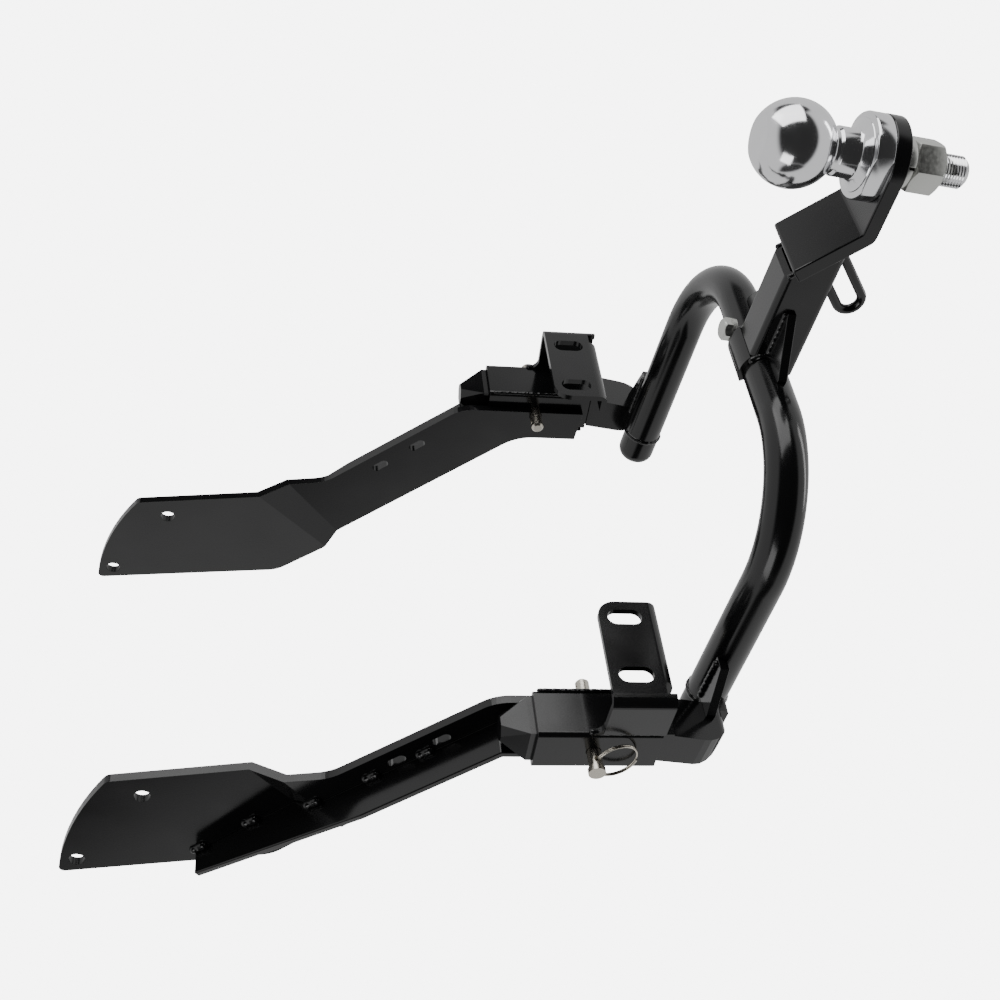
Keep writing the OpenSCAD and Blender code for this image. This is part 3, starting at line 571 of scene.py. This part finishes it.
@dataclass
class Welds:
    """All the weld beads of the hitch, each a run of overlapping frozen ripples under the coat."""
    finishes: Finishes
    ripple: float = 0.36
    voxel: float = 0.75
    lean_deg: float = 6.0
    pin_y: float = 331.2
    pin_z: float = 48.0
    strip_face: float = 144.5
    upper_face: float = 133.8
    loop_feet: tuple[float, float] = (84.1, 60.7)

    def run(self, start: Sequence[float], end: Sequence[float], thick: float) -> list[Vector]:
        """List the ripples of a straight bead, in millimetres.

        Args:
            start, end: its two ends.
            thick: its thickness.

        Returns:
            The middle of each ripple.
        """
        a, b = Vector(start), Vector(end)
        count = max(1, round((b - a).length / (thick * self.ripple)))
        return [a.lerp(b, i / count) for i in range(count + 1)]

    def round_run(self, centre: Sequence[float], u: Sequence[float], v: Sequence[float], radius: float,
                  start: float, end: float, thick: float) -> list[Vector]:
        """List the ripples of a bead that runs round a circle, in millimetres.

        Args:
            centre: the circle's centre.
            u, v: two unit directions in its plane.
            radius: its radius.
            start, end: the bead's first and last angle, in degrees from u towards v.
            thick: its thickness.

        Returns:
            The middle of each ripple.
        """
        count = max(3, round(math.radians(abs(end - start)) * radius / (thick * self.ripple)))
        angles = [math.radians(start + (end - start) * i / count) for i in range(count + 1)]
        middle, x, y = Vector(centre), Vector(u), Vector(v)
        return [middle + radius * (math.cos(a) * x + math.sin(a) * y) for a in angles]

    def lay(self, bead: Bead) -> None:
        """Lay one bead: drop its ripples, melt them together and coat them.

        Args:
            bead: the bead to lay.
        """
        alone()
        first = True
        for i, point in enumerate(bead.points):
            swell = 1 + 0.07 * math.sin(2.4 * i) + 0.05 * math.sin(5.1 * i + 1)
            bpy.ops.mesh.primitive_uv_sphere_add(segments=12, ring_count=8,
                                                 radius=bead.thick / 2 * swell * MM, location=point * MM)
            if first:
                piece = bpy.context.object
                piece.name = bead.name
                settle(piece)
                bpy.ops.object.mode_set(mode="EDIT")
                first = False
        bpy.ops.object.mode_set(mode="OBJECT")
        melt = piece.modifiers.new("melt", "REMESH")
        melt.mode = "VOXEL"
        melt.voxel_size = self.voxel * MM
        bpy.ops.object.modifier_apply(modifier=melt.name)
        calm = piece.modifiers.new("calm", "SMOOTH")
        calm.factor, calm.iterations = 0.5, 2
        bpy.ops.object.modifier_apply(modifier=calm.name)
        turned_outwards(piece)
        smooth(piece, 80)
        finish(piece, self.finishes.black, "hitch")

    def tongue_beads(self) -> list[Bead]:
        """List the beads of the drawbar, its saddle, gussets, cap and chain loop."""
        low, high = (Vector(c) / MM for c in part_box("drawbar"))
        tube_low, tube_high = (Vector(c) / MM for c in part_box("tongue_tube"))
        half = (high.x - low.x) / 2
        tube_z = (tube_low.z + tube_high.z) / 2
        tube_r = (tube_high.z - tube_low.z) / 2
        tube_y = tube_low.y + tube_r
        mid_z = (low.z + high.z) / 2
        beads = []
        for side, sign in (("left", -1), ("right", 1)):
            x = sign * half
            seam = self.round_run((x, tube_y, tube_z), (0, -1, 0), (0, 0, 1), tube_r + 0.2, -55, 55, 5.0)
            beads.append(Bead(f"{side}_drawbar_weld", seam, 5.0))
            seam_x, seam_z = x + sign * 0.3, tube_z + 3.2
            seam = self.run((seam_x, tube_y - 45, seam_z), (seam_x, tube_y - 16, seam_z), 4.2)
            beads.append(Bead(f"{side}_gusset_weld", seam, 4.2))
            seam = self.run((x, low.y + 30, high.z - 2), (x, low.y + 3, low.z + 2), 3.4)
            beads.append(Bead(f"{side}_cap_weld", seam, 3.4))
        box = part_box("chain_loop")
        x = (box[0][0] + box[1][0]) / 2 / MM
        for name, y in zip(("front", "rear"), self.loop_feet):
            seam = self.round_run((x, y, low.z), (1, 0, 0), (0, 1, 0), 3.4, 0, 360, 3.6)
            beads.append(Bead(f"chain_loop_{name}_weld", seam, 3.6))
        return beads

    def side_beads(self, side: str) -> list[Bead]:
        """List the beads of one side: tube end, receiver, slot bracket, gusset and stiffener.

        Args:
            side: "left" or "right".

        Returns:
            The side's beads.
        """
        sign = -1 if side == "left" else 1
        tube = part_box("tongue_tube")
        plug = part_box(f"{side}_tube_plug")
        end_y = tube[1][1] / MM
        tube_z = (plug[0][2] + plug[1][2]) / 2 / MM
        leg_x = abs(plug[0][0] + plug[1][0]) / 2 / MM
        tube_r = (plug[1][2] - plug[0][2]) / 2 / MM
        receiver_low, receiver_high = (Vector(c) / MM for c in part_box(f"{side}_receiver"))
        strip_out = min(abs(receiver_low.x), abs(receiver_high.x))
        lean = math.radians(self.lean_deg)

        def leaning(x: float, y: float, z: float) -> tuple[float, float, float]:
            """Return a place of the receiver's frame in the hitch's frame."""
            return (sign * x, self.pin_y + y * math.cos(lean) + z * math.sin(lean),
                    self.pin_z - y * math.sin(lean) + z * math.cos(lean))

        seam = self.round_run((sign * leg_x, end_y, tube_z), (1, 0, 0), (0, 0, 1), tube_r - 0.8, 0, 345, 4.2)
        beads = [Bead(f"{side}_tube_end_weld", seam, 4.2)]
        seam_x = strip_out + 0.6
        for name, y in (("rear", -16.4), ("front", 16.8)):
            seam = self.run(leaning(seam_x, y, -38), leaning(seam_x, y, 33), 3.2)
            beads.append(Bead(f"{side}_receiver_{name}_weld", seam, 3.2))
        seam = self.run(leaning(177.5, -16.9, 3.5), leaning(177.5, -16.9, -40), 4.4)
        beads.append(Bead(f"{side}_bracket_weld", seam, 4.4))
        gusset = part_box(f"{side}_foot_gusset")
        seam_x, seam_z = sign * (leg_x + tube_r * 0.92), gusset[1][2] / MM + 0.3
        rear_y, front_y = gusset[0][1] / MM + 3, gusset[1][1] / MM - 2
        seam = self.run((seam_x, rear_y, seam_z), (seam_x, front_y, seam_z), 4.4)
        beads.append(Bead(f"{side}_foot_gusset_weld", seam, 4.4))
        spots = ((518, 270.8), (487.5, 239.6), (451, 203.3), (418, 169.8), (389, 140))
        for number, (y, z) in enumerate(spots):
            out = self.plate_face(y)
            a = (sign * out, y - 2.6, z - 2.6)
            b = (sign * out, y + 2.6, z + 2.6)
            beads.append(Bead(f"{side}_stiffener_weld_{number + 1}", self.run(a, b, 6.6), 6.6))
        return beads

    def plate_face(self, y: float) -> float:
        """Return how far out the side plate's outer face is at a place along its stiffener."""
        if y <= 440:
            return self.strip_face
        upper = self.upper_face + 0.0787 * (y - 455)
        joggle = self.strip_face - 0.63 * (y - 454)
        return max(min(self.strip_face, joggle), upper)

    def build(self) -> None:
        """Lay every bead."""
        for bead in self.tongue_beads() + self.side_beads("left") + self.side_beads("right"):
            self.lay(bead)


@dataclass
class Studio:
    """Camera, soft boxes, floor and surroundings. Offsets are along the picture's right, up and out."""
    eye: Vector = Vector((-0.72949, -0.37154, 0.33313))
    turn_deg: tuple[float, float, float] = (24.8996, 75.2550, -111.9286)
    lens_mm: float = 53.952
    middle: Vector = Vector((0.0, 0.265, 0.12))
    floor_z: float = -0.75
    paper_white: float = 6.5
    wall_glow: float = 0.85
    dark_glow: float = 0.035

    def axes(self) -> Matrix:
        """Return the camera's axes as the columns of a matrix."""
        return Matrix.Rotation(math.radians(self.turn_deg[2]), 3, "Z") \
            @ Matrix.Rotation(math.radians(self.turn_deg[1]), 3, "Y") \
            @ Matrix.Rotation(math.radians(self.turn_deg[0]), 3, "X")

    def soft_box(self, name: str, right: float, up: float, out: float, size: tuple[float, float],
                 watts: float) -> None:
        """Hang a rectangular area light that faces the object's middle.

        Args:
            name: the light's name.
            right, up, out: its offset from the middle along the camera's axes, in metres.
            size: its width and height in metres.
            watts: its power.
        """
        away = self.axes() @ Vector((right, up, out))
        data = bpy.data.lights.new(name, "AREA")
        data.shape = "RECTANGLE"
        data.size, data.size_y = size
        data.energy = watts
        lamp = bpy.data.objects.new(name, data)
        bpy.context.scene.collection.objects.link(lamp)
        lamp.location = self.middle + away
        lamp.rotation_euler = (-away).to_track_quat("-Z", "Y").to_euler()

    def surroundings(self) -> None:
        """Light the world as a white studio, dark in front and at the poles, seen as pale paper."""
        world = bpy.data.worlds.new("studio")
        bpy.context.scene.world = world
        world.use_nodes = True
        tree = world.node_tree
        tree.nodes.clear()
        way = add_node(tree, "ShaderNodeTexCoord").outputs["Generated"]
        right, up, out = (add_node(tree, "ShaderNodeVectorMath", {"operation": "DOT_PRODUCT"}, i0=way,
                                   i1=tuple(axis)).outputs["Value"] for axis in self.axes().transposed())

        def sum_of(a: Any, share: float, b: Any) -> bpy.types.NodeSocket:
            """Add a share of one socket to another value."""
            return add_node(tree, "ShaderNodeMath", {"operation": "MULTIPLY_ADD"}, i0=a, i1=share,
                            i2=b).outputs[0]

        def fade(value: Any, low: float, high: float) -> bpy.types.NodeSocket:
            """Rise smoothly from none to full as a value passes between two bounds."""
            return add_node(tree, "ShaderNodeMapRange", {"interpolation_type": "SMOOTHSTEP"}, Value=value,
                            From_Min=low, From_Max=high, To_Min=0.0, To_Max=1.0).outputs["Result"]

        def both(a: Any, b: Any, how: str = "MULTIPLY") -> bpy.types.NodeSocket:
            """Combine two sockets with a plain operation."""
            return add_node(tree, "ShaderNodeMath", {"operation": how}, i0=a, i1=b).outputs[0]

        level = both(up, up)
        tilted = sum_of(right, -0.5, sum_of(up, 0.138, sum_of(out, 1.0, 0.085)))
        pole_shade = both(fade(level, 0.72, 0.86), fade(tilted, -0.06, 0.06))
        front_shade = fade(sum_of(right, -0.55, out), -0.02, 0.2)
        left_shade = fade(sum_of(right, 1.05, out), -0.3, 0.1)
        belt_shade = both(both(front_shade, left_shade), fade(level, 0.9, 0.76))
        shade = both(pole_shade, belt_shade, "MAXIMUM")
        glow = add_node(tree, "ShaderNodeMapRange", Value=shade, From_Min=0.0, From_Max=1.0,
                        To_Min=self.wall_glow, To_Max=self.dark_glow)
        room = add_node(tree, "ShaderNodeBackground", Color=(1, 1, 1, 1), Strength=glow.outputs["Result"])
        paper = add_node(tree, "ShaderNodeBackground", Color=(1, 1, 1, 1), Strength=self.paper_white)
        seen = add_node(tree, "ShaderNodeLightPath").outputs["Is Camera Ray"]
        mix = add_node(tree, "ShaderNodeMixShader", i0=seen, i1=room.outputs[0], i2=paper.outputs[0])
        add_node(tree, "ShaderNodeOutputWorld", Surface=mix.outputs[0])

    def floor(self) -> None:
        """Lay a pale paper floor that only the camera sees."""
        alone()
        bpy.ops.mesh.primitive_plane_add(size=30, location=(0, 0, self.floor_z))
        sheet = bpy.context.object
        sheet.name = "paper_floor"
        material, tree, _ = new_material("white_paper")
        shine = add_node(tree, "ShaderNodeEmission", Color=(1, 1, 1, 1), Strength=self.paper_white)
        add_node(tree, "ShaderNodeOutputMaterial", Surface=shine.outputs["Emission"])
        sheet.data.materials.append(material)
        sheet.visible_glossy = sheet.visible_diffuse = sheet.visible_shadow = False

    def build(self) -> None:
        """Make the camera, the lights, the floor and the surroundings."""
        scene = bpy.context.scene
        data = bpy.data.cameras.new("camera")
        data.lens = self.lens_mm
        data.sensor_width = 36.0
        data.clip_start, data.clip_end = 0.05, 50.0
        camera = bpy.data.objects.new("camera", data)
        scene.collection.objects.link(camera)
        camera.location = self.eye
        camera.rotation_euler = self.axes().to_euler()
        scene.camera = camera
        self.surroundings()
        self.floor()
        self.soft_box("key", right=-0.07, up=1.17, out=0.56, size=(1.1, 1.2), watts=13)
        self.soft_box("low", right=-0.3, up=-0.84, out=0.84, size=(0.55, 0.6), watts=3)
        self.soft_box("rim", right=1.9, up=0.5, out=-0.2, size=(0.25, 1.6), watts=6)
        LOG.info("studio ready")


def dress_frame(finishes: Finishes) -> None:
    """Give every packed steel piece its finish, and round its edges.

    Args:
        finishes: the hitch's materials.
    """
    slots = {s["node"]: Slot(s["material_slot"]) for s in frame["record"]["subparts"]}
    rounding = {Slot.BLACK: 0.9, Slot.ZINC: 0.3, Slot.NICKEL: 0.4, Slot.CHROME: 0.5}
    for name, piece in frame["nodes"].items():
        piece.data.materials.clear()
        piece.data.materials.append(finishes.of(slots[name]))
        if "detent" in name:
            continue
        alone(piece)
        weld = piece.modifiers.new("merge", "WELD")
        weld.merge_threshold = 0.002 * MM
        flatten = piece.modifiers.new("flatten", "DECIMATE")
        flatten.decimate_type = "DISSOLVE"
        flatten.angle_limit = math.radians(0.6)
        round_edges(piece, rounding[slots[name]], 3, live=True)
        # Large flat faces keep their own normal, and the rounding takes up the turn between them.
        even = piece.modifiers.new("even", "WEIGHTED_NORMAL")
        even.weight = 100
        even.keep_sharp = True
        LOG.info("dressed %s", name)


def main() -> None:
    """Build the hitch's looks in order."""
    logging.basicConfig(level=logging.INFO, format="%(name)s: %(message)s")
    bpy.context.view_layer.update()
    Studio().build()
    finishes = Finishes.make()
    dress_frame(finishes)
    TowBall(finishes).build()
    for side in ("left", "right"):
        SplitRing(side, finishes).build()
    Welds(finishes).build()


if __name__ == "__main__":
    main()
